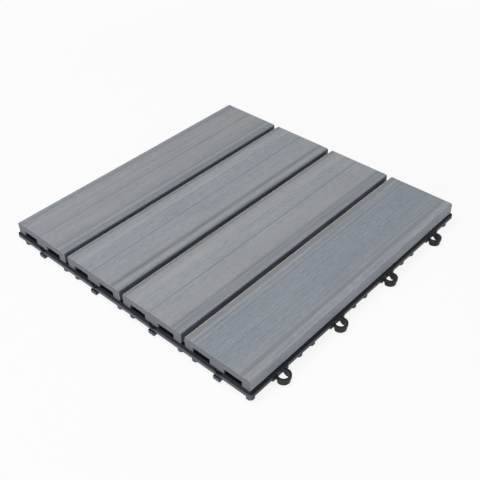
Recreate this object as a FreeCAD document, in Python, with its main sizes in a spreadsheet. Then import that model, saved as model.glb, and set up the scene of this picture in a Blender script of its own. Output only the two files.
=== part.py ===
"""Interlocking deck tile: four wood-composite slats screwed to a moulded grid of black plastic.

The tile lies flat, as it is used. X runs across the slats, Y along them and Z up from the ground.
The tile's own centre is the middle of its square rim. The catch rings stand further out of two
sides than the catch lugs out of the other two, so each sub-part is drawn about the tile's centre
and then placed so that the origin lies under the middle of the whole outline, on the ground.
"""
import FreeCAD, Part
import math
import os
import Sketcher

doc = FreeCAD.newDocument("deck_tile")
Y_AXIS = FreeCAD.Vector(0, 1, 0)
Z_AXIS = FreeCAD.Vector(0, 0, 1)

# Driving dimensions, in millimetres
SIZES = {
    # The tile and its slats
    "tile_side": 300.0,          # square rim, face to face
    "slat_count": 4,             # slats, and so cells and catches along a side
    "slat_gap": 4.3,             # open joint between two slats
    "slat_set_back": 2.25,       # from the rim's face to a slat's sawn end
    "slat_thickness": 11.7,
    "slat_top_round": 2.0,       # long upper edges
    "slat_foot_bevel": 1.1,      # long lower edges
    "centre_leg": 15.5,          # solid leg that takes the screws
    "channel_width": 18.75,      # two relief channels under each slat
    "channel_depth": 5.2,
    # The moulded grid: rim and ribs
    "seat_height": 10.8,         # ground to the face that the slats lie on
    "rim_underside": 5.9,
    "rim_wall": 2.1,
    "rim_corner_round": 3.0,
    "flange_width": 4.35,        # from the rim's face
    "flange_thickness": 1.8,
    "bevel_width": 2.1,
    "bevel_drop": 1.3,
    "rib_thickness": 2.0,
    "grid_shift": 3.8,           # cells of the grid against the slats, in X and in -Y
    # Feet
    "foot_pair_pitch": 16.6,     # between the feet of two neighbouring cells
    "foot_radius": 3.8,
    "foot_bevel": 1.3,
    "foot_sides": 8,             # flats that stand for a round foot
    # Catch rings
    "catch_shift": 2.5,          # catches against the slats, in -Y beside X and in X beside Y
    "ring_stand_off": 3.3,       # ring's axis from the rim's face
    "ring_bore_radius": 4.6,
    "ring_wall": 1.3,
    "ring_lip": 0.8,
    "ring_lip_height": 2.4,
    "ring_underside": 0.6,
    "ring_top": 7.3,
    "arm_slant_reach": 2.4,      # slant under a ring's arms, at the ground, from the rim's face
    "root_width": 19.2,
    "root_reach": 0.6,
    "root_underside": 4.2,
    "root_top": 8.0,
    # Catch lugs
    "lug_depth": 4.2,
    "lug_reach": 1.6,
    "lug_underside": 2.2,
    "snap_clearance": 0.6,       # corners of a lug inside a ring of the next tile
    "lug_strip": 1.3,            # rim left in front of a lug
    "window_clearance": 1.6,     # either side of a lug
    "window_depth": 5.5,         # from the rim's face to the end of the window's side walls
    "window_wall": 1.5,
    "dip_height": 8.3,           # lowest point of the dip in the rim over a lug
    # Screws and their bosses
    "screws_per_slat": 2,
    "screw_sides": 8,            # flats that stand for a round on screws, bosses and holes
    "boss_radius": 5.5,
    "boss_seat": 7.0,            # height of the face that a screw's head pulls up to
    "screw_length": 12.0,        # under the head
    "tip_bevel": 1.2,
    "shank_radius": 1.8,
    "head_radius": 3.5,
    "head_height": 2.3,
    "head_clearance": 0.5,
    "boss_hole_clearance": 0.3,
    "pilot_clearance": 0.1,
}


def make_sheet():
    """Keep the driving dimensions in a sheet, one alias to a row."""
    sheet = doc.addObject("Spreadsheet::Sheet", "Sheet")
    for row, (alias, value) in enumerate(SIZES.items(), start=1):
        sheet.set("A%d" % row, alias)
        sheet.set("B%d" % row, "%g" % value)
        sheet.setAlias("B%d" % row, alias)
    doc.recompute()
    return sheet


sheet = make_sheet()

# Sizes worked out from the driving ones, as expressions on the sheet
CELL = "(Sheet.tile_side / Sheet.slat_count)"
FIRST_CELL = "(Sheet.tile_side / 2 - %s / 2)" % CELL
HALF_SIDE = "(Sheet.tile_side / 2)"
FLANGE_INSIDE = "(%s - Sheet.flange_width)" % HALF_SIDE
WALL_INSIDE = "(%s - Sheet.rim_wall)" % HALF_SIDE
RIM_HEIGHT = "(Sheet.seat_height - Sheet.rim_underside)"
RIB_END = "(%s - max(Sheet.rim_wall; Sheet.bevel_width))" % HALF_SIDE
FOOT_SPREAD = "(%s / 2 - Sheet.foot_pair_pitch / 2)" % CELL
SLAT_HALF_WIDTH = "(%s / 2 - Sheet.slat_gap / 2)" % CELL
RING_RADIUS = "(Sheet.ring_bore_radius + Sheet.ring_wall)"
LIP_RADIUS = "(%s + Sheet.ring_lip)" % RING_RADIUS
LUG_HALF_WIDTH = (
    "sqrt((Sheet.ring_bore_radius - Sheet.snap_clearance) ^ 2 - (Sheet.lug_depth / 2) ^ 2)"
)
WINDOW_HALF_WIDTH = "(%s + Sheet.window_clearance)" % LUG_HALF_WIDTH
CELL_ACROSS = "(-%s + Sheet.grid_shift)" % FIRST_CELL
CELL_ALONG = "(-%s - Sheet.grid_shift)" % FIRST_CELL
CELLS_ACROSS = ("X_Axis", CELL, "Sheet.slat_count")
CELLS_ALONG = ("Y_Axis", CELL, "Sheet.slat_count")
SCREW_SPACING = "(Sheet.slat_count - 1) * %s / (Sheet.screws_per_slat - 1)" % CELL
SCREWS_ALONG = ("Y_Axis", SCREW_SPACING, "Sheet.screws_per_slat")
OUTLINE_SHIFT = "((Sheet.lug_reach - Sheet.ring_stand_off - %s) / 2)" % LIP_RADIUS


def value(expression):
    """The number that an expression on the sheet stands for."""
    return float(sheet.evalExpression(expression.replace("Sheet.", "")))


def new_body(name):
    """A body drawn about the tile's centre, which may hold copies that stand apart."""
    body = doc.addObject("PartDesign::Body", name)
    body.AllowCompound = True
    return body


def origin_feature(body, role):
    return next(item for item in body.Origin.OriginFeatures if item.Role == role)


def new_sketch(body, name, plane="XY_Plane", at=("0", "0", "0"), turn=0.0):
    """A sketch on an origin plane, moved by three expressions and turned about its own normal."""
    sketch = body.newObject("Sketcher::SketchObject", name)
    sketch.AttachmentSupport = [(origin_feature(body, plane), "")]
    sketch.MapMode = "FlatFace"
    rotation = FreeCAD.Rotation(Z_AXIS, turn)
    sketch.AttachmentOffset = FreeCAD.Placement(FreeCAD.Vector(), rotation)
    for axis, expression in zip("xyz", at):
        sketch.setExpression("AttachmentOffset.Base." + axis, expression)
    return sketch


def bind(sketch, constraint, name, expression):
    """Add a constraint and drive its value from the sheet."""
    index = sketch.addConstraint(constraint)
    sketch.renameConstraint(index, name)
    sketch.setExpression("Constraints." + name, expression)


def rectangle(sketch, left, right, bottom, top, tag="box"):
    """A rectangle whose four sides lie at expressions measured from the sketch's origin."""
    low = FreeCAD.Vector(value(left), value(bottom), 0)
    high = FreeCAD.Vector(value(right), value(top), 0)
    corners = [low, FreeCAD.Vector(high.x, low.y, 0), high, FreeCAD.Vector(low.x, high.y, 0)]
    first = sketch.GeometryCount
    for start, end in zip(corners, corners[1:] + corners[:1]):
        sketch.addGeometry(Part.LineSegment(start, end))
    for side in range(4):
        following = first + (side + 1) % 4
        sketch.addConstraint(Sketcher.Constraint("Coincident", first + side, 2, following, 1))
        direction = "Horizontal" if side % 2 == 0 else "Vertical"
        sketch.addConstraint(Sketcher.Constraint(direction, first + side))
    for kind, point, line, side, expression in (
        ("DistanceX", low.x, first, "_left", left),
        ("DistanceY", low.y, first, "_bottom", bottom),
        ("DistanceX", high.x, first + 2, "_right", right),
        ("DistanceY", high.y, first + 2, "_top", top),
    ):
        bind(sketch, Sketcher.Constraint(kind, -1, 1, line, 1, point), tag + side, expression)


def circle(sketch, across, up, radius, tag="round"):
    """A circle about a point given by two expressions."""
    centre = FreeCAD.Vector(value(across), value(up), 0)
    index = sketch.addGeometry(Part.Circle(centre, Z_AXIS, value(radius)))
    middle = (-1, 1, index, 3)
    bind(sketch, Sketcher.Constraint("DistanceX", *middle, centre.x), tag + "_across", across)
    bind(sketch, Sketcher.Constraint("DistanceY", *middle, centre.y), tag + "_up", up)
    bind(sketch, Sketcher.Constraint("Radius", index, value(radius)), tag + "_radius", radius)


def many_sided_round(sketch, sides, across, up, radius, tag="round"):
    """A regular outline with a flat side downwards, its corners on a circle given by expressions."""
    centre = FreeCAD.Vector(value(across), value(up), 0)
    reach = value(radius)
    count = int(sides)
    guide = sketch.addGeometry(Part.Circle(centre, Z_AXIS, reach), True)
    middle = (-1, 1, guide, 3)
    bind(sketch, Sketcher.Constraint("DistanceX", *middle, centre.x), tag + "_across", across)
    bind(sketch, Sketcher.Constraint("DistanceY", *middle, centre.y), tag + "_up", up)
    bind(sketch, Sketcher.Constraint("Radius", guide, reach), tag + "_radius", radius)
    step = 2 * math.pi / count
    turns = [step * (number - 0.5) - math.pi / 2 for number in range(count + 1)]
    corners = [centre + FreeCAD.Vector(reach * math.cos(a), reach * math.sin(a), 0) for a in turns]
    first = guide + 1
    for start, end in zip(corners, corners[1:]):
        side = sketch.addGeometry(Part.LineSegment(start, end))
        sketch.addConstraint(Sketcher.Constraint("PointOnObject", side, 1, guide))
        if side > first:
            sketch.addConstraint(Sketcher.Constraint("Coincident", side - 1, 2, side, 1))
            sketch.addConstraint(Sketcher.Constraint("Equal", first, side))
    sketch.addConstraint(Sketcher.Constraint("Coincident", side, 2, first, 1))
    sketch.addConstraint(Sketcher.Constraint("Horizontal", first))


def flat_sided_round(sketch, stand_off, radius):
    """A circle about a point on the local X axis, cut off flat at the local Y axis."""
    distance = value(stand_off)
    reach = value(radius)
    half_angle = math.pi - math.acos(distance / reach)
    whole = Part.Circle(FreeCAD.Vector(distance, 0, 0), Z_AXIS, reach)
    arc = sketch.addGeometry(Part.ArcOfCircle(whole, -half_angle, half_angle))
    half_chord = math.sqrt(reach ** 2 - distance ** 2)
    ends = [FreeCAD.Vector(0, half_chord, 0), FreeCAD.Vector(0, -half_chord, 0)]
    chord = sketch.addGeometry(Part.LineSegment(*ends))
    sketch.addConstraint(Sketcher.Constraint("Coincident", arc, 2, chord, 1))
    sketch.addConstraint(Sketcher.Constraint("Coincident", chord, 2, arc, 1))
    sketch.addConstraint(Sketcher.Constraint("PointOnObject", chord, 1, -2))
    sketch.addConstraint(Sketcher.Constraint("PointOnObject", chord, 2, -2))
    sketch.addConstraint(Sketcher.Constraint("PointOnObject", arc, 3, -1))
    bind(sketch, Sketcher.Constraint("DistanceX", -1, 1, arc, 3, distance), "stand_off", stand_off)
    bind(sketch, Sketcher.Constraint("Radius", arc, reach), "radius", radius)


def wedge(sketch, reach, rise):
    """A right-angled triangle from the sketch's origin, out along local X and up along local Y."""
    corners = [(0, 0), (value(reach), 0), (0, value(rise)), (0, 0)]
    points = [FreeCAD.Vector(*corner, 0) for corner in corners]
    for start, end in zip(points, points[1:]):
        sketch.addGeometry(Part.LineSegment(start, end))
    for side in range(3):
        sketch.addConstraint(Sketcher.Constraint("Coincident", side, 2, (side + 1) % 3, 1))
    sketch.addConstraint(Sketcher.Constraint("Coincident", 0, 1, -1, 1))
    sketch.addConstraint(Sketcher.Constraint("Horizontal", 0))
    sketch.addConstraint(Sketcher.Constraint("Vertical", 2))
    bind(sketch, Sketcher.Constraint("DistanceX", 0, 1, 0, 2, value(reach)), "reach", reach)
    bind(sketch, Sketcher.Constraint("DistanceY", 2, 2, 2, 1, value(rise)), "rise", rise)


def pad(body, sketch, name, length):
    """Raise a sketch by an expression, along its normal."""
    feature = body.newObject("PartDesign::Pad", name)
    feature.Profile = sketch
    feature.setExpression("Length", length)
    body.Tip = feature
    doc.recompute()
    return feature


def pocket(body, sketch, name, length, along_normal=False):
    """Sink a sketch by an expression, and stop if that takes nothing away."""
    before = body.Shape.Volume
    feature = body.newObject("PartDesign::Pocket", name)
    feature.Profile = sketch
    feature.Reversed = along_normal
    feature.setExpression("Length", length)
    body.Tip = feature
    doc.recompute()
    if body.Shape.Volume > before - 0.01:
        raise ValueError(name + " cuts nothing")
    return feature


def repeat(body, features, name, runs, quarter_turn=False):
    """Copy features, or the whole body if none is named, along runs and then a quarter turn on.

    Each run is an axis, a spacing and a count.
    """
    pattern = body.newObject("PartDesign::MultiTransform", name)
    if features:
        pattern.Originals = features
    else:
        pattern.TransformMode = "Whole shape"
    steps = []
    for number, (role, spacing, count) in enumerate(runs):
        run = body.newObject("PartDesign::LinearPattern", "%s_run_%d" % (name, number))
        run.Direction = (origin_feature(body, role), [""])
        run.Mode = "Spacing"
        run.setExpression("Offset", spacing)
        run.setExpression("Occurrences", count)
        steps.append(run)
    if quarter_turn:
        turn = body.newObject("PartDesign::PolarPattern", name + "_turned")
        turn.Axis = (origin_feature(body, "Z_Axis"), [""])
        turn.Angle = 90.0
        turn.Occurrences = 2
        steps.append(turn)
    pattern.Transformations = steps
    body.Tip = pattern
    doc.recompute()
    return pattern


def edge_names(shape, chosen):
    """Names of the edges of a shape that a test chooses."""
    return ["Edge%d" % n for n, edge in enumerate(shape.Edges, start=1) if chosen(edge)]


def fillet(body, name, base, chosen, radius):
    """Round the chosen edges of a feature to a radius given by an expression."""
    feature = body.newObject("PartDesign::Fillet", name)
    feature.Base = (base, edge_names(base.Shape, chosen))
    feature.setExpression("Radius", radius)
    body.Tip = feature
    doc.recompute()
    return feature


def bevel(body, name, base, chosen, size):
    """Bevel the chosen edges of a feature at 45 degrees, to a size given by an expression."""
    feature = body.newObject("PartDesign::Chamfer", name)
    feature.Base = (base, edge_names(base.Shape, chosen))
    feature.setExpression("Size", size)
    body.Tip = feature
    doc.recompute()
    return feature


def runs_along(edge, axis):
    """True for a straight edge that is parallel to an axis."""
    if not isinstance(edge.Curve, Part.Line):
        return False
    return abs(abs(edge.Curve.Direction.dot(axis)) - 1) < 1e-6


def near(value, wanted):
    return abs(value - wanted) < 1e-4


def make_rim():
    """A square frame of L section with rounded corners and a bevel round its upper edge."""
    body = new_body("rim")
    plan = new_sketch(body, "rim_plan", at=("0", "0", "Sheet.rim_underside"))
    rectangle(plan, "-" + HALF_SIDE, HALF_SIDE, "-" + HALF_SIDE, HALF_SIDE)
    block = pad(body, plan, "rim_block", RIM_HEIGHT)
    rounded = fillet(
        body, "rim_corners", block, lambda edge: runs_along(edge, Z_AXIS), "Sheet.rim_corner_round"
    )
    bevel = body.newObject("PartDesign::Chamfer", "rim_bevel")
    top = sheet.seat_height
    bevel.Base = (rounded, edge_names(rounded.Shape, lambda e: near(e.CenterOfMass.z, top)))
    bevel.ChamferType = "Two distances"
    bevel.FlipDirection = True
    bevel.setExpression("Size", "Sheet.bevel_width")
    bevel.setExpression("Size2", "Sheet.bevel_drop")
    body.Tip = bevel
    doc.recompute()

    opening = new_sketch(body, "rim_opening_plan", at=("0", "0", "Sheet.seat_height"))
    rectangle(opening, "-" + FLANGE_INSIDE, FLANGE_INSIDE, "-" + FLANGE_INSIDE, FLANGE_INSIDE)
    pocket(body, opening, "rim_opening", RIM_HEIGHT)
    undercut = new_sketch(body, "undercut_plan", at=("0", "0", "Sheet.rim_underside"))
    rectangle(undercut, "-" + WALL_INSIDE, WALL_INSIDE, "-" + WALL_INSIDE, WALL_INSIDE)
    pocket(body, undercut, "rim_undercut", RIM_HEIGHT + " - Sheet.flange_thickness", True)
    add_rings(body)
    add_lugs(body)
    return body


def add_rings(body):
    """Catch rings on the +X side, one to a cell, and again a quarter turn on at the +Y side."""
    beside = "(-%s - Sheet.catch_shift)" % FIRST_CELL

    def ring_sketch(name, height):
        return new_sketch(body, name, at=(HALF_SIDE, beside, height))

    root_plan = ring_sketch("ring_root_plan", "Sheet.root_underside")
    half_root = "Sheet.root_width / 2"
    rectangle(root_plan, "-Sheet.flange_width", "Sheet.root_reach", "-" + half_root, half_root)
    root = pad(body, root_plan, "ring_root", "Sheet.root_top - Sheet.root_underside")

    wall_plan = ring_sketch("ring_wall_plan", "Sheet.ring_underside")
    flat_sided_round(wall_plan, "Sheet.ring_stand_off", RING_RADIUS)
    wall = pad(body, wall_plan, "ring_wall", "Sheet.ring_top - Sheet.ring_underside")

    lip_plan = ring_sketch("ring_lip_plan", "Sheet.ring_top - Sheet.ring_lip_height")
    flat_sided_round(lip_plan, "Sheet.ring_stand_off", LIP_RADIUS)
    lip = pad(body, lip_plan, "ring_lip", "Sheet.ring_lip_height")

    bore_plan = ring_sketch("ring_bore_plan", "Sheet.root_top")
    flat_sided_round(bore_plan, "Sheet.ring_stand_off", "Sheet.ring_bore_radius")
    bore = pocket(body, bore_plan, "ring_bore", "Sheet.root_top")

    near_end = "%s - %s" % (LIP_RADIUS, beside)
    slant_side = new_sketch(body, "arm_slant_side", "XZ_Plane", at=(HALF_SIDE, "0", near_end))
    wedge(slant_side, "Sheet.arm_slant_reach", "Sheet.root_underside")
    slant = pocket(body, slant_side, "arm_slant", "2 * " + LIP_RADIUS)
    repeat(body, [root, wall, lip, bore, slant], "rings", [CELLS_ALONG], quarter_turn=True)


def add_lugs(body):
    """Catch lugs under the rim of the -X side, each below a window, and again at the -Y side."""
    beside = "(-%s - Sheet.catch_shift)" % FIRST_CELL
    sides = ("-" + LUG_HALF_WIDTH, LUG_HALF_WIDTH)

    def lug_sketch(name, height):
        return new_sketch(body, name, at=("-" + HALF_SIDE, beside, height), turn=180.0)

    walls_plan = lug_sketch("window_walls_plan", "Sheet.rim_underside")
    outer = WINDOW_HALF_WIDTH + " + Sheet.window_wall"
    rectangle(walls_plan, "-Sheet.window_depth", "-Sheet.rim_wall", "-(%s)" % outer, outer)
    walls = pad(body, walls_plan, "window_walls", RIM_HEIGHT)

    window_plan = lug_sketch("window_plan", "Sheet.seat_height")
    jambs = ("-" + WINDOW_HALF_WIDTH, WINDOW_HALF_WIDTH)
    rectangle(window_plan, "-Sheet.window_depth", "-Sheet.lug_strip", *jambs)
    window = pocket(body, window_plan, "window", RIM_HEIGHT)

    dip_plan = new_sketch(body, "dip_plan", "YZ_Plane", at=(beside, "0", "-" + HALF_SIDE))
    circle(dip_plan, "0", "Sheet.dip_height + " + WINDOW_HALF_WIDTH, WINDOW_HALF_WIDTH)
    dip = pocket(body, dip_plan, "dip", "Sheet.lug_strip", True)

    lug_plan = lug_sketch("lug_plan", "Sheet.lug_underside")
    rectangle(lug_plan, "Sheet.lug_reach - Sheet.lug_depth", "Sheet.lug_reach", *sides)
    lug = pad(body, lug_plan, "lug", "Sheet.rim_underside - Sheet.lug_underside")

    stem_plan = lug_sketch("stem_plan", "Sheet.rim_underside")
    rectangle(stem_plan, "Sheet.lug_reach - Sheet.lug_depth", "-Sheet.lug_strip", *sides)
    stem = pad(body, stem_plan, "lug_stem", "Sheet.dip_height - Sheet.rim_underside")
    repeat(body, [walls, window, dip, lug, stem], "lugs", [CELLS_ALONG], quarter_turn=True)


def make_ribs():
    """One rib along each slat, over its screws, and two across each row of cells, over the feet."""
    half_rib = "Sheet.rib_thickness / 2"
    first_foot = "%s - %s" % (CELL_ALONG, FOOT_SPREAD)

    along = new_body("lengthwise_ribs")
    plan = new_sketch(along, "lengthwise_plan", at=("-" + FIRST_CELL, "0", "Sheet.rim_underside"))
    rectangle(plan, "-" + half_rib, half_rib, first_foot, RIB_END)
    rib = pad(along, plan, "lengthwise_rib", RIM_HEIGHT)
    repeat(along, [rib], "lengthwise_rows", [CELLS_ACROSS])

    across = new_body("crosswise_ribs")
    plan = new_sketch(across, "crosswise_plan", at=("0", CELL_ALONG, "Sheet.rim_underside"))
    for tag, place in (("near", "-" + FOOT_SPREAD), ("far", FOOT_SPREAD)):
        walls = (place + " - " + half_rib, place + " + " + half_rib)
        rectangle(plan, "-" + RIB_END, RIB_END, *walls, tag=tag)
    ribs = pad(across, plan, "crosswise_pair", RIM_HEIGHT)
    repeat(across, [ribs], "crosswise_rows", [CELLS_ALONG])
    return [along, across]


def make_feet():
    """Four round feet to a cell under the ribs, bevelled at the ground."""
    body = new_body("feet")
    plan = new_sketch(body, "foot_plan", at=(CELL_ACROSS, CELL_ALONG, "0"))
    corner = ("-" + FOOT_SPREAD, "-" + FOOT_SPREAD)
    many_sided_round(plan, sheet.foot_sides, *corner, "Sheet.foot_radius")
    foot = pad(body, plan, "foot", "Sheet.rim_underside")
    bevel(body, "foot_bevel", foot, lambda edge: near(edge.CenterOfMass.z, 0), "Sheet.foot_bevel")
    pair = "2 * " + FOOT_SPREAD
    runs = [("X_Axis", pair, "2"), CELLS_ACROSS, ("Y_Axis", pair, "2"), CELLS_ALONG]
    repeat(body, [], "feet_of_all_cells", runs)
    return body


def round_at_screws(name, radius, low, high):
    """One upright round at every screw, between two heights."""
    body = new_body(name)
    plan = new_sketch(body, name + "_plan", at=("-" + FIRST_CELL, CELL_ALONG, low))
    many_sided_round(plan, sheet.screw_sides, "0", "0", radius)
    upright = pad(body, plan, name + "_upright", "%s - %s" % (high, low))
    repeat(body, [upright], name + "_rows", [CELLS_ACROSS, SCREWS_ALONG])
    return body


def make_base_grid():
    """The black moulding under the slats, made in one piece."""
    underside = "Sheet.rim_underside"
    seat = "Sheet.seat_height"
    solids = [
        make_rim(),
        *make_ribs(),
        make_feet(),
        round_at_screws("bosses", "Sheet.boss_radius", underside, seat),
    ]
    hole_radius = "Sheet.shank_radius + Sheet.boss_hole_clearance"
    recess_radius = "Sheet.head_radius + Sheet.head_clearance"
    hollows = [
        round_at_screws("screw_holes", hole_radius, underside, seat),
        round_at_screws("head_recesses", recess_radius, underside, "Sheet.boss_seat"),
    ]
    moulding = doc.addObject("Part::MultiFuse", "moulding")
    moulding.Shapes = solids
    moulding.Refine = False
    screw_seats = doc.addObject("Part::MultiFuse", "screw_seats")
    screw_seats.Shapes = hollows
    grid = doc.addObject("Part::Cut", "base_grid")
    grid.Base = moulding
    grid.Tool = screw_seats
    grid.Refine = True
    return grid


def make_slat(number):
    """One extruded slat with two relief channels and blind pilot holes in its underside."""
    body = new_body("slat_%d" % number)
    across = "(%d * %s - %s)" % (number - 1, CELL, FIRST_CELL)
    seat = "Sheet.seat_height"
    section = new_sketch(body, "section_%d" % number, "XZ_Plane", at=(across, seat, "0"))
    rectangle(section, "-" + SLAT_HALF_WIDTH, SLAT_HALF_WIDTH, "0", "Sheet.slat_thickness")
    plank = pad(body, section, "plank_%d" % number, "Sheet.tile_side - 2 * Sheet.slat_set_back")
    plank.Midplane = True
    doc.recompute()

    channel_plan = new_sketch(body, "channels_%d" % number, "XZ_Plane", at=(across, seat, "0"))
    inner, outer = "Sheet.centre_leg / 2", "Sheet.centre_leg / 2 + Sheet.channel_width"
    rectangle(channel_plan, "-(%s)" % outer, "-(%s)" % inner, "0", "Sheet.channel_depth", "left")
    rectangle(channel_plan, inner, outer, "0", "Sheet.channel_depth", "right")
    channels = pocket(body, channel_plan, "channel_pair_%d" % number, "Sheet.tile_side")
    channels.Midplane = True
    doc.recompute()

    foot = sheet.seat_height
    top = foot + sheet.slat_thickness
    half = (sheet.tile_side / sheet.slat_count - sheet.slat_gap) / 2
    middle = (number - 1 - (sheet.slat_count - 1) / 2) * sheet.tile_side / sheet.slat_count

    def long_edge(height):
        def chosen(edge):
            centre = edge.CenterOfMass
            outside = near(abs(centre.x - middle), half)
            return outside and runs_along(edge, Y_AXIS) and near(centre.z, height)
        return chosen

    bevels = "foot_bevels_%d" % number
    bevel(body, bevels, body.Tip, long_edge(foot), "Sheet.slat_foot_bevel")
    rounds = "top_rounds_%d" % number
    fillet(body, rounds, body.Tip, long_edge(top), "Sheet.slat_top_round")

    pilot_plan = new_sketch(body, "pilot_plan_%d" % number, at=(across, CELL_ALONG, seat))
    radius = "Sheet.shank_radius + Sheet.pilot_clearance"
    many_sided_round(pilot_plan, sheet.screw_sides, "0", "0", radius)
    depth = "Sheet.boss_seat + Sheet.screw_length + Sheet.pilot_clearance - " + seat
    pilot = pocket(body, pilot_plan, "pilot_%d" % number, depth, True)
    repeat(body, [pilot], "pilots_%d" % number, [SCREWS_ALONG])
    return body


def make_screws():
    """Pan-head self-tapping screws, turned up from below into the slats' middle legs."""
    body = new_body("slat_screws")
    first_screw = ("-" + FIRST_CELL, CELL_ALONG)
    stages = (
        ("head", "Sheet.boss_seat - Sheet.head_height", "Sheet.head_radius", "Sheet.head_height"),
        ("shank", "Sheet.boss_seat", "Sheet.shank_radius", "Sheet.screw_length"),
    )
    for name, low, radius, length in stages:
        plan = new_sketch(body, name + "_plan", at=(*first_screw, low))
        many_sided_round(plan, sheet.screw_sides, "0", "0", radius)
        stage = pad(body, plan, "screw_" + name, length)
    end = sheet.boss_seat + sheet.screw_length
    bevel(body, "screw_tip", stage, lambda edge: near(edge.CenterOfMass.z, end), "Sheet.tip_bevel")
    repeat(body, [], "screws", [CELLS_ACROSS, SCREWS_ALONG])
    return body


def finish_node(node, name):
    """Name a sub-part and lay the middle of the whole outline on the origin."""
    node.Label = name
    node.setExpression("Placement.Base.x", OUTLINE_SHIFT)
    node.setExpression("Placement.Base.y", OUTLINE_SHIFT)
    return node


nodes = [finish_node(make_base_grid(), "base_grid")]
for number in range(1, int(sheet.slat_count) + 1):
    nodes.append(finish_node(make_slat(number), "slat_%d" % number))
nodes.append(finish_node(make_screws(), "slat_screws"))
doc.recompute()

for thing in doc.Objects:
    if "Invalid" in thing.State or "Error" in thing.State:
        raise RuntimeError(thing.Label + " did not rebuild")
for node in nodes:
    if node.Shape.isNull() or not node.Shape.isValid():
        raise RuntimeError(node.Label + " has no sound shape")

os.makedirs("parts", exist_ok=True)
for node in nodes:
    node.Shape.exportStep("parts/%s.step" % node.Label)
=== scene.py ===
import math

import bpy
from mathutils import Euler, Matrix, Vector


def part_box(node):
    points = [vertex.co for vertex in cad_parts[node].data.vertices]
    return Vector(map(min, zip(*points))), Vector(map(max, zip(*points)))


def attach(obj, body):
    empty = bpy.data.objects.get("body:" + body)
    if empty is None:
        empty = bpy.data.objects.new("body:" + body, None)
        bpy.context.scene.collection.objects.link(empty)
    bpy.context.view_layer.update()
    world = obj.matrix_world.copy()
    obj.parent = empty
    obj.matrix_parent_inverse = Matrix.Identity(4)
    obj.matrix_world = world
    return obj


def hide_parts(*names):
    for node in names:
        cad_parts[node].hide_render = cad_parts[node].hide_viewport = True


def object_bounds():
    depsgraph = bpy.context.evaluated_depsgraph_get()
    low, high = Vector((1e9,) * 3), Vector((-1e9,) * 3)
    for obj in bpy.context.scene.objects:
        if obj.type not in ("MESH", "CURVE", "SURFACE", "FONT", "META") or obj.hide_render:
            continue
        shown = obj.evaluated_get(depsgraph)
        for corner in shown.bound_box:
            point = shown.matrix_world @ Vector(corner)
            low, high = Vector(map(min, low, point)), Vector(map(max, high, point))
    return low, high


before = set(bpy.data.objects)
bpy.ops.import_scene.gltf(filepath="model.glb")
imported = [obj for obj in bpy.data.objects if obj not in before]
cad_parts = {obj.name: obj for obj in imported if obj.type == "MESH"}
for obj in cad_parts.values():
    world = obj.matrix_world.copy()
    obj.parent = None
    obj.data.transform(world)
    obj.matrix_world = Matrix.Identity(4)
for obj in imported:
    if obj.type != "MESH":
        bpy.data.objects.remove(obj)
cad_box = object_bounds()

# THE MOULDED GRID
# One injection moulding in black polypropylene: rim, ribs, feet, catch rings and lugs. Its skin is
# satin, with the fine grain of a spark-eroded tool and a little dust. The upright faces of the rim,
# feet and lugs carry a painted sheen of paler black, strongest on the near and far faces.

MM = 0.001


class Wire:
    """One output in a material's nodes. Arithmetic on it adds Math nodes."""

    def __init__(self, tree, socket=None):
        self.tree = tree
        self.socket = socket

    def feed(self, node, inputs):
        """Links each wire to the node's input of that name, and sets each plain value on it."""
        for name, value in inputs.items():
            if isinstance(value, Wire):
                self.tree.links.new(value.socket, node.inputs[name])
            else:
                node.inputs[name].default_value = value

    def add(self, kind, settings, inputs, output=0):
        """Adds a node, sets it up, feeds its inputs and gives one of its outputs."""
        node = self.tree.nodes.new(kind)
        for name, setting in settings.items():
            setattr(node, name, setting)
        self.feed(node, inputs)
        return Wire(self.tree, node.outputs[output] if node.outputs else None)

    def maths(self, operation, *values):
        """Adds a Math node that works on these values."""
        return self.add("ShaderNodeMath", {"operation": operation}, dict(enumerate(values)))

    def __add__(self, other):
        return self.maths("ADD", self, other)

    def __radd__(self, other):
        return self.maths("ADD", other, self)

    def __sub__(self, other):
        return self.maths("SUBTRACT", self, other)

    def __rsub__(self, other):
        return self.maths("SUBTRACT", other, self)

    def __mul__(self, other):
        return self.maths("MULTIPLY", self, other)

    def __rmul__(self, other):
        return self.maths("MULTIPLY", other, self)

    def __neg__(self):
        return self.maths("MULTIPLY", self, -1.0)

    def __abs__(self):
        return self.maths("ABSOLUTE", self)

    def step(self, low, high):
        """0 up to low, 1 from high on, and a smooth step between them."""
        ends = {"Value": self, "From Min": low, "From Max": high}
        return self.add("ShaderNodeMapRange", {"interpolation_type": "SMOOTHSTEP"}, ends)

    def grain(self, size, detail=2.0, shift=0.0):
        """Noise about 0.5 at this place, with grains of size (x, y, z) in millimetres."""
        scale = [1.0 / (side * MM) for side in size]
        moved = {"Vector": self, "Location": (shift, shift, shift), "Scale": scale}
        noise = {"Vector": self.add("ShaderNodeMapping", {}, moved), "Scale": 1.0, "Detail": detail}
        return self.add("ShaderNodeTexNoise", {}, noise)

    def tint(self, plain, tinted):
        """A colour that goes from plain to tinted as this mask goes from 0 to 1."""
        colours = {0: self, 6: plain, 7: tinted}
        return self.add("ShaderNodeMix", {"data_type": "RGBA"}, colours, 2)

    def relief(self, depth, corner_round=0.0):
        """A surface normal for heights over depth, with corners rounded, both in millimetres."""
        inputs = {"Height": self, "Distance": depth * MM}
        if corner_round:
            radius = {"Radius": corner_round * MM}
            inputs["Normal"] = self.add("ShaderNodeBevel", {"samples": 4}, radius)
        return self.add("ShaderNodeBump", {}, inputs)


def start_material(name):
    """A new material: it, the wire that starts its nodes, and a surface point's place, in metres."""
    material = bpy.data.materials.new(name)
    material.use_nodes = True
    root = Wire(material.node_tree)
    return material, root, root.add("ShaderNodeTexCoord", {}, {}, "Object")


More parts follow.
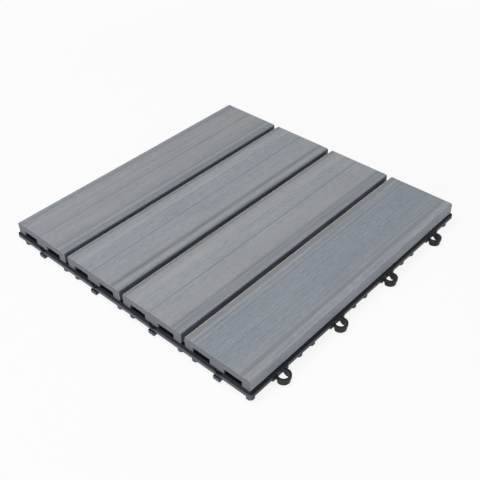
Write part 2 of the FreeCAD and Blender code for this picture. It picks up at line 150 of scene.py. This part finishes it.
def finish_material(material, root, **finish):
    """Feeds the material's shader, whose sockets are named with _ in place of each space."""
    shader = material.node_tree.nodes["Principled BSDF"]
    root.feed(shader, {name.replace("_", " "): value for name, value in finish.items()})


def split(root, vector):
    """The x, y and z of a place or a direction, as three wires."""
    return [root.add("ShaderNodeSeparateXYZ", {}, {"Vector": vector}, axis) for axis in "XYZ"]


def facing_of(root):
    """Which way the surface looks, as the x, y and z of its normal."""
    return split(root, root.add("ShaderNodeTexCoord", {}, {}, "Normal"))


# In millimetres: the rim's side, how far a lug stands out from it, and where a ring's own colour
# starts and is whole
TILE_SIDE, LUG_REACH = 300.0, 1.6
RING_START, RING_WHOLE = 0.4, 1.0
BLACK = (0.0070, 0.0088, 0.0125, 1.0)
SHEEN_BLACK = (0.084, 0.094, 0.112, 1.0)
CATCH_BLACK = (0.0190, 0.0180, 0.0170, 1.0)
DUST = (0.100, 0.098, 0.094, 1.0)
DUST_STRENGTH = 0.08
TOOL_GRAIN = (0.35, 0.35, 0.35)
MOTTLE = (9.0, 9.0, 9.0)
# Streaks that break up the painted sheen on the upright faces
SHEEN_STREAKS = (1.1, 1.1, 12.0)
# How strongly the painted sheen shows on upright faces that look left or right, and near or far
SHEEN_SIDES, SHEEN_ENDS = 0.36, 0.92

plastic, root, place = start_material("black_polypropylene")
facing = facing_of(root)
x, y = split(root, place)[:2]
upright = 1.0 - abs(facing[2]).step(0.15, 0.45)
at_ends = abs(facing[1]).step(0.3, 0.7)
rim_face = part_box("base_grid")[0].x + (LUG_REACH + TILE_SIDE) * MM
outward = root.maths("MAXIMUM", x, y) - rim_face
on_rim = 1.0 - outward.step(RING_START * MM, RING_WHOLE * MM)
tool_grain = place.grain(TOOL_GRAIN, detail=1.0)
mottle = place.grain(MOTTLE, detail=4.0, shift=3.0)
sheen_streaks = place.grain(SHEEN_STREAKS, shift=8.0)
marks = 0.5 * (sheen_streaks - 0.5) + 0.5 * (mottle - 0.5)
# Painted sheen: the upright faces of the rim, feet and lugs are made paler, most on the near and far
# faces
painted_sheen = upright * on_rim * (SHEEN_SIDES + (SHEEN_ENDS - SHEEN_SIDES) * at_ends + marks)
colour = painted_sheen.tint(on_rim.tint(CATCH_BLACK, BLACK), SHEEN_BLACK)
colour = (mottle.step(0.50, 0.85) * DUST_STRENGTH).tint(colour, DUST)
finish_material(
    plastic,
    root,
    Base_Color=colour,
    Roughness=0.34 + 0.10 * mottle + 0.08 * tool_grain,
    Normal=tool_grain.relief(0.02, corner_round=0.3),
    Specular_IOR_Level=0.17,
    Specular_Tint=(0.86, 0.95, 1.0, 1.0),
)
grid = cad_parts["base_grid"]
grid.data.materials.clear()
grid.data.materials.append(plastic)

# THE FOUR SLATS
# Extruded wood-plastic composite, brushed along its length, sawn square at both ends and screwed on
# from below. Streaks of browner and bluer grey run its whole length, and no two slats are alike. The
# left upper arrises carry a painted highlight, the walls of the gaps between the slats are darkened
# with painted shade, and a narrow band next to each sawn end is paler.

SLAT_GREYS = {
    "slat_1": (0.278, 0.299, 0.326),
    "slat_2": (0.303, 0.326, 0.357),
    "slat_3": (0.318, 0.341, 0.367),
    "slat_4": (0.262, 0.289, 0.326),
}
DARK = (0.175, 0.178, 0.182, 1.0)
PALE = (0.440, 0.452, 0.472, 1.0)
WARM = (0.338, 0.331, 0.334, 1.0)
BROWN = (0.246, 0.231, 0.220, 1.0)
COOL = (0.165, 0.190, 0.225, 1.0)
ARRIS_HIGHLIGHT = (0.540, 0.548, 0.560, 1.0)
GAP_SHADE = (0.070, 0.084, 0.105, 1.0)
SAWN = (0.172, 0.182, 0.207, 1.0)
SAWN_DEEP = (0.127, 0.130, 0.144, 1.0)
FLECK_STRENGTH, ARRIS_HIGHLIGHT_STRENGTH, GAP_SHADE_STRENGTH, PALE_END_STRENGTH = 0.5, 0.9, 0.78, 0.35

# For each slat: where a streak runs, in millimetres across from its middle, how wide it is, how
# strongly it shows, and its colour
STREAKS = {
    "slat_1": [(-2.0, 44.0, 0.40, WARM), (-29.0, 4.0, 0.32, DARK), (-19.5, 3.0, 0.14, PALE),
               (-2.2, 1.4, 0.50, DARK), (12.0, 2.0, 0.08, PALE), (23.5, 3.0, 0.36, DARK),
               (26.5, 2.0, 0.16, PALE), (31.5, 6.0, 0.50, COOL)],
    "slat_2": [(-33.0, 6.0, 0.66, DARK), (-24.0, 11.0, 0.14, PALE), (-20.0, 4.0, 0.22, PALE),
               (-2.1, 1.2, 0.62, DARK), (19.0, 7.0, 0.32, WARM), (25.4, 4.4, 0.52, DARK),
               (23.9, 0.9, 0.35, DARK), (31.0, 4.0, 0.06, PALE), (34.2, 3.2, 0.55, COOL)],
    "slat_3": [(-24.0, 12.0, 0.45, WARM), (-32.5, 4.0, 0.66, DARK), (-21.0, 7.0, 0.32, PALE),
               (-2.0, 1.2, 0.62, DARK), (14.0, 16.0, 0.40, WARM), (22.4, 1.8, 0.28, BROWN),
               (24.6, 2.0, 0.55, DARK), (30.0, 9.0, 0.42, COOL), (29.4, 1.0, 0.36, DARK)],
    "slat_4": [(-31.8, 5.6, 0.60, BROWN), (-27.4, 2.4, 0.30, PALE), (-22.2, 0.9, 0.32, PALE),
               (-20.9, 0.8, 0.30, COOL), (-19.2, 0.7, 0.22, COOL), (23.0, 1.0, 0.18, PALE),
               (25.4, 4.4, 0.50, BROWN), (26.4, 0.9, 0.30, DARK), (31.0, 6.5, 0.26, PALE)],
}
# A streak is whole up to the first share of its width from its middle, and gone from the second on.
# It wanders by about this many millimetres, to one side and the other.
STREAK_WHOLE, STREAK_GONE = 0.22, 0.78
STREAK_WANDER = 1.4

# How large the marks in the composite are, in millimetres across, along and up the slat
WANDER = (60.0, 110.0, 60.0)
LINES = (0.65, 600.0, 0.65)
SMEARS = (2.4, 50.0, 2.4)
FIBRES = (0.50, 8.0, 0.50)
BRUSHING = (0.35, 2.4, 0.35)
CLOUDS = (14.0, 60.0, 14.0)
SPECKLE = (0.7, 0.7, 0.7)
FLECKS = (0.8, 3.0, 0.8)
# How much darker and paler than a slat's grey the grain goes, and how much more or less of that
# its red, green and blue take
GRAIN_CONTRAST = 0.29
GRAIN_HUE = (0.05, 0.0, -0.03)

# In millimetres: how far in from the outer sides of the slats the gap walls' painted shade starts
# and is whole, and how far in from a sawn end the paler band starts to fade and is gone
SHADE_START, SHADE_WHOLE = 2.0, 4.0
PALE_END_WHOLE, PALE_END_GONE = 0.2, 0.9
LEFT_SIDE, RIGHT_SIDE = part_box("slat_1")[0].x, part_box("slat_4")[1].x


def inward(place, low, high):
    """How far a place lies in from the nearer of two ends."""
    return (high - low) / 2 - abs(place - (low + high) / 2)


def composite(name, grey, streaks, number):
    """The material of one slat, with its own grey and its own streaks."""
    material, root, place = start_material("composite_" + name)
    low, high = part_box(name)
    x, y = split(root, place)[:2]
    wander = place.grain(WANDER, detail=1.0, shift=5.0 * number) - 0.5
    across = x - (low.x + high.x) / 2 + wander * (STREAK_WANDER * MM)
    facing = facing_of(root)
    sawn = abs(facing[1]).step(0.6, 0.8)

    lines = place.grain(LINES, detail=3.0, shift=11.0 * number) - 0.5
    smears = place.grain(SMEARS, shift=13.0 * number) - 0.5
    fibres = place.grain(FIBRES, shift=17.0 * number) - 0.5
    brushing = place.grain(BRUSHING, shift=23.0 * number) - 0.5
    clouds = place.grain(CLOUDS, shift=29.0 * number) - 0.5
    speckle = place.grain(SPECKLE, shift=31.0 * number)
    flecks = place.grain(FLECKS, detail=0.0, shift=37.0 * number).step(0.76, 0.82)

    deep = [part * (1.0 - GRAIN_CONTRAST - hue) for part, hue in zip(grey, GRAIN_HUE)] + [1.0]
    pale = [part * (1.0 + GRAIN_CONTRAST + hue) for part, hue in zip(grey, GRAIN_HUE)] + [1.0]
    strokes = 0.9 * lines + 0.4 * smears + 1.2 * fibres + 1.1 * brushing + 0.4 * (speckle - 0.5)
    colour = (0.5 + strokes + 0.4 * clouds).tint(deep, pale)
    broken = 1.0 + 2.5 * lines + 2.2 * smears + 2.2 * fibres
    for at, width, strength, tone in streaks:
        distance = abs(across - at * MM)
        band = 1.0 - distance.step(STREAK_WHOLE * width * MM, STREAK_GONE * width * MM)
        colour = (band * broken * strength).tint(colour, tone)
    colour = (flecks * FLECK_STRENGTH).tint(colour, PALE)
    # Painted highlight on the upper rounds that face left, where the lamps leave them in shade
    arris_highlight = (-facing[0]).step(0.08, 0.45) * facing[2].step(0.15, 0.40)
    colour = (arris_highlight * ARRIS_HIGHLIGHT_STRENGTH).tint(colour, ARRIS_HIGHLIGHT)
    # Painted shade on the walls of the gaps between the slats, on the sides that face left or right
    inner = inward(x, LEFT_SIDE, RIGHT_SIDE).step(SHADE_START * MM, SHADE_WHOLE * MM)
    painted_gap_shade = abs(facing[0]).step(0.55, 0.90) * inner * (1.0 - sawn)
    colour = (painted_gap_shade * GAP_SHADE_STRENGTH).tint(colour, GAP_SHADE)
    # Paler within a millimetre of each sawn end, on all faces but the sawn ones
    pale_end_band = 1.0 - inward(y, low.y, high.y).step(PALE_END_WHOLE * MM, PALE_END_GONE * MM)
    pale_end_band = pale_end_band * (1.0 - sawn)
    colour = (pale_end_band * PALE_END_STRENGTH).tint(colour, PALE)
    colour = sawn.tint(colour, speckle.step(0.35, 0.7).tint(SAWN, SAWN_DEEP))
    heights = (0.5 + fibres + brushing) * (1.0 - sawn) + speckle * sawn
    finish_material(
        material,
        root,
        Base_Color=colour,
        Roughness=0.62 + 0.3 * brushing,
        Normal=heights.relief(0.09, corner_round=0.4),
        Specular_IOR_Level=0.35,
    )
    return material


for number, (name, streaks) in enumerate(STREAKS.items(), 1):
    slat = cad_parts[name]
    slat.data.materials.clear()
    slat.data.materials.append(composite(name, SLAT_GREYS[name], streaks, number))

# THE SCREWS
# Stainless pan-head screws driven up from below through the bosses of the grid into the slats.
# Each has a cold-formed head with a cross recess, and a rolled thread that ends in a cone.

STEEL = (0.56, 0.55, 0.53, 1.0)
STEEL_DULL = (0.30, 0.30, 0.30, 1.0)
ROLLING_MARKS = (0.25, 0.25, 0.05)
STAIN = (1.6, 1.6, 1.6)

steel, root, place = start_material("stainless_steel")
rolling = place.grain(ROLLING_MARKS)
stain = place.grain(STAIN, detail=3.0, shift=4.0)
finish_material(
    steel,
    root,
    Base_Color=stain.step(0.45, 0.8).tint(STEEL, STEEL_DULL),
    Metallic=1.0,
    Roughness=0.24 + 0.20 * stain,
    Normal=rolling.relief(0.02),
)

# Sizes of one screw in millimetres, its head first
HEAD_RADIUS, HEAD_HEIGHT, CROWN_HEIGHT, FLAT_RADIUS = 3.2, 2.3, 1.2, 1.8
RECESS_DEPTH, RECESS_REACH, RECESS_HALF_WIDTH = 1.3, 1.6, 0.42
RECESS_END_SLOPE, RECESS_SIDE_SLOPE = 0.4, 0.18
SEAT_GAP, SHOULDER = 0.02, 0.2
CORE_RADIUS, THREAD_DEPTH, THREAD_PITCH, THREAD_START = 1.25, 0.42, 1.6, 0.1
TIP_LENGTH, TIP_GAP = 2.6, 0.05
# Half the thread's width as a share of its pitch, and how blunt and how curved the tip is
THREAD_HALF_WIDTH, TIP_BLUNTNESS, TIP_CURVE = 0.32, 0.04, 0.7
# How many points a ring has, how many rings the crown and the thread have, how far apart the rings
# of the head's flat lie, and how small the innermost is
SCREW_SIDES, CROWN_RINGS, THREAD_RINGS = 48, 8, 60
FLAT_SPACING, INNERMOST = 0.1, 1e-3
# Points nearer to each other than this, in metres, belong to the same screw
SAME_SCREW = 0.01


def arm(along, across):
    """How far one arm of the cross recess is cut at a point, from 0 to 1."""
    end = min(max((RECESS_REACH - abs(along)) / RECESS_END_SLOPE, 0.0), 1.0)
    side = min(max((RECESS_HALF_WIDTH - abs(across)) / RECESS_SIDE_SLOPE + 0.5, 0.0), 1.0)
    return end * side


def turned_ring(radius, height, shape):
    """One ring of a lathe-turned form. shape gives each point its own radius and height."""
    ring = []
    for side in range(SCREW_SIDES):
        angle = 2 * math.pi * side / SCREW_SIDES
        reach, level = shape(angle, radius, height)
        ring.append((reach * math.cos(angle), reach * math.sin(angle), level))
    return ring


def recessed(angle, radius, height):
    """The flat of the head with the cross cut into it."""
    across, along = radius * math.cos(angle), radius * math.sin(angle)
    return radius, height + RECESS_DEPTH * max(arm(across, along), arm(along, across))


def plain(angle, radius, height):
    """A round form with nothing cut into it."""
    return radius, height


def threaded(angle, radius, height):
    """A V thread: its crest climbs one pitch to a turn, and it fades out on the pointed tip."""
    turn = (height / THREAD_PITCH - angle / (2 * math.pi)) % 1.0
    crest = max(1.0 - abs(turn - 0.5) / THREAD_HALF_WIDTH, 0.0)
    return radius * (1.0 + THREAD_DEPTH / CORE_RADIUS * crest), height


low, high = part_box("slat_screws")
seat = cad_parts["slat_screws"]
spots = []
for vertex in seat.data.vertices:
    point = seat.matrix_world @ vertex.co
    same = [spot for spot in spots if math.dist(spot[0][:2], point[:2]) < SAME_SCREW]
    if same:
        same[0].append(point)
    else:
        spots.append([point])

rings = []
for step in range(int(FLAT_RADIUS / FLAT_SPACING) + 1):
    rings.append(turned_ring(FLAT_SPACING * step + INNERMOST, 0.0, recessed))
for step in range(1, CROWN_RINGS + 1):
    angle = math.pi / 2 * step / CROWN_RINGS
    reach = FLAT_RADIUS + (HEAD_RADIUS - FLAT_RADIUS) * math.sin(angle)
    rings.append(turned_ring(reach, CROWN_HEIGHT * (1.0 - math.cos(angle)), plain))
for reach in (HEAD_RADIUS, CORE_RADIUS + SHOULDER):
    rings.append(turned_ring(reach, HEAD_HEIGHT - SEAT_GAP, plain))
length = (high.z - low.z) / MM
thread_low, thread_high = HEAD_HEIGHT + THREAD_START, length - TIP_GAP
for step in range(THREAD_RINGS + 1):
    height = thread_low + (thread_high - thread_low) * step / THREAD_RINGS
    to_tip = max(min((length - height) / TIP_LENGTH, 1.0), TIP_BLUNTNESS)
    rings.append(turned_ring(CORE_RADIUS * to_tip**TIP_CURVE, height, threaded))

vertices, faces = [], []
for spot in spots:
    middle = [(min(p[k] for p in spot) + max(p[k] for p in spot)) / 2 for k in (0, 1)]
    first = len(vertices)
    for ring in rings:
        vertices += [(middle[0] + x * MM, middle[1] + y * MM, low.z + z * MM) for x, y, z in ring]
    for row in range(len(rings) - 1):
        for side in range(SCREW_SIDES):
            a = first + row * SCREW_SIDES + side
            b = first + row * SCREW_SIDES + (side + 1) % SCREW_SIDES
            faces.append((a, a + SCREW_SIDES, b + SCREW_SIDES, b))
    faces.append([first + side for side in range(SCREW_SIDES)])
    faces.append([len(vertices) - 1 - side for side in range(SCREW_SIDES)])
screw_mesh = bpy.data.meshes.new("pan_head_screws")
screw_mesh.from_pydata(vertices, [], faces)
screw_mesh.shade_smooth()
screw_mesh.set_sharp_from_angle(angle=math.radians(40.0))
screw_mesh.materials.append(steel)
screws = bpy.data.objects.new("pan_head_screws", screw_mesh)
bpy.context.collection.objects.link(screws)
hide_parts("slat_screws")
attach(screws, "root")

# THE FLOOR AND THE LIGHT
# A white table in an even white room, under large soft boxes. Beneath the tile and near it the table
# shows the tile's shadow, and further off it is as white as the room. Seen from below it is left out
# of the picture, and it lets through the light of a weak box there, for views of the underside.

# The table's side and the reach of the shadow shown on it are in metres. The shade beneath the tile
# starts at the slats' outer sides and is whole this many millimetres further in.
FLOOR_SIDE = 8.0
FLOOR_WHITE = 0.88
SHADOW_REACH = 0.35
UNDER_EDGE = 12.0
UNDER_SHADE = 0.9
ROOM_LIGHT = 0.16
WHITE = (1.0, 1.0, 1.0, 1.0)
PAPER = (0.90, 0.90, 0.90, 1.0)
SIGHT_RAYS = ("Is Camera Ray", "Is Glossy Ray", "Is Transmission Ray")


def rays(root, kind):
    """A wire that is 1 for the light rays of this kind, and 0 for all others."""
    return root.add("ShaderNodeLightPath", {}, {}, kind)


floor_material = bpy.data.materials.new("white_table")
floor_material.use_nodes = True
floor_material.node_tree.nodes.clear()
root = Wire(floor_material.node_tree)
seen, mirrored, through = [rays(root, kind) for kind in SIGHT_RAYS]
white = root.add("ShaderNodeEmission", {}, {"Color": WHITE, "Strength": 1.0})
paper = root.add("ShaderNodeBsdfDiffuse", {}, {"Color": PAPER})
place = root.add("ShaderNodeTexCoord", {}, {}, "Object")
x, y = split(root, place)[:2]
away = root.add("ShaderNodeVectorMath", {"operation": "LENGTH"}, {0: place}, "Value")
even = FLOOR_WHITE + (1.0 - FLOOR_WHITE) * away.step(SHADOW_REACH, 3.0 * SHADOW_REACH)
near_left, far_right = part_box("slat_1")[0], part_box("slat_4")[1]
beneath = inward(x, near_left.x, far_right.x).step(0.0, UNDER_EDGE * MM)
beneath = beneath * inward(y, near_left.y, far_right.y).step(0.0, UNDER_EDGE * MM)
shown = (seen * (1.0 - UNDER_SHADE * beneath) + mirrored + through) * even
lit = root.add("ShaderNodeMixShader", {}, {0: shown, 1: paper, 2: white})
from_below = root.add("ShaderNodeNewGeometry", {}, {}, "Backfacing")
left_out = root.maths("MAXIMUM", from_below, rays(root, "Is Shadow Ray"))
clear = root.add("ShaderNodeBsdfTransparent", {}, {})
surface = root.add("ShaderNodeMixShader", {}, {0: left_out, 1: lit, 2: clear})
root.add("ShaderNodeOutputMaterial", {}, {"Surface": surface})

half = FLOOR_SIDE / 2
table_corners = [(-half, -half, 0.0), (half, -half, 0.0), (half, half, 0.0), (-half, half, 0.0)]
floor_mesh = bpy.data.meshes.new("floor")
floor_mesh.from_pydata(table_corners, [], [(0, 1, 2, 3)])
floor_mesh.materials.append(floor_material)
floor = bpy.data.objects.new("floor", floor_mesh)
bpy.context.collection.objects.link(floor)

world = bpy.data.worlds.new("white_room")
bpy.context.scene.world = world
world.use_nodes = True
world.node_tree.nodes.clear()
root = Wire(world.node_tree)
seen, mirrored, through = [rays(root, kind) for kind in SIGHT_RAYS]
strength = ROOM_LIGHT + (1.0 - ROOM_LIGHT) * (seen + mirrored + through)
room = root.add("ShaderNodeBackground", {}, {"Color": WHITE, "Strength": strength})
root.add("ShaderNodeOutputWorld", {}, {"Surface": room})

# Each soft box: where it stands from the tile's middle, in metres, and its power in watts
SOFT_BOXES = {
    "overhead": ((-0.38, -0.44, 1.79), 21.0),
    "front": ((0.0, -1.84, 0.49), 14.0),
    "right": ((1.84, 0.0, 0.49), 7.8),
    "below": ((0.30, -0.40, -1.80), 10.0),
}
SOFT_BOX_SIDE = 0.9

middle = (cad_box[0] + cad_box[1]) / 2
for name, (stand, power) in SOFT_BOXES.items():
    lamp = bpy.data.lights.new(name, "AREA")
    lamp.shape = "SQUARE"
    lamp.size = SOFT_BOX_SIDE
    lamp.energy = power
    box = bpy.data.objects.new(name, lamp)
    box.location = middle + Vector(stand)
    box.rotation_euler = (-Vector(stand)).to_track_quat("-Z", "Y").to_euler()
    bpy.context.collection.objects.link(box)

# THE CAMERA
# A short telephoto lens, near enough for the slats to converge: it looks down on the near right
# corner of the tile and is held a little off level.

# The lens and sensor are in millimetres, places in metres, and turns about X, Y and Z in degrees
LENS, SENSOR_WIDTH = 57.4, 36.0
CAMERA_PLACE = (0.39335, -0.43137, 0.47079)
CAMERA_TURNS = (50.430, 0.793, 42.054)
NEAREST_SEEN = 0.01

camera = bpy.data.objects.new("camera", bpy.data.cameras.new("camera"))
camera.data.lens = LENS
camera.data.sensor_width = SENSOR_WIDTH
camera.data.clip_start = NEAREST_SEEN
camera.location = CAMERA_PLACE
camera.rotation_euler = Euler([math.radians(turn) for turn in CAMERA_TURNS])
bpy.context.collection.objects.link(camera)
bpy.context.scene.camera = camera
bpy.context.scene.view_settings.view_transform = "Standard"
